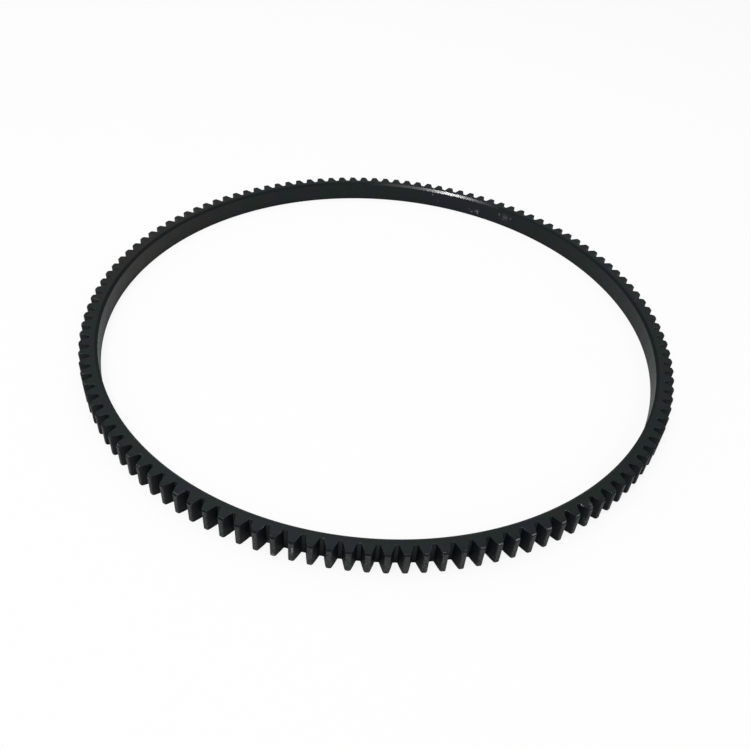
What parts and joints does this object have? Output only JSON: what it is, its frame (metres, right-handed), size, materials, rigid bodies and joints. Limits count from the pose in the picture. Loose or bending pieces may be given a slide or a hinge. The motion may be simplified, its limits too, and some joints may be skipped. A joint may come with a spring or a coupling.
{
  "type": "flywheel ring gear",
  "caption": "Thin steel ring with straight external teeth, pressed onto an engine flywheel for the starter pinion to turn.",
  "frame": {"origin": "centre of the bore on the plane of the lower face", "axes": "+Z along the axis, from the plain lower face to the face with the lead-in chamfer and the chamfered tooth ends; +X through the middle of one tooth"},
  "size_m": [0.387, 0.387, 0.0148],
  "materials": {
    "steel": "black oxide with a thin film of oil, satin, worn a little brighter on the edges"
  },
  "bodies": {
    "root": {"ring_gear": "steel"}
  },
  "joints": []
}
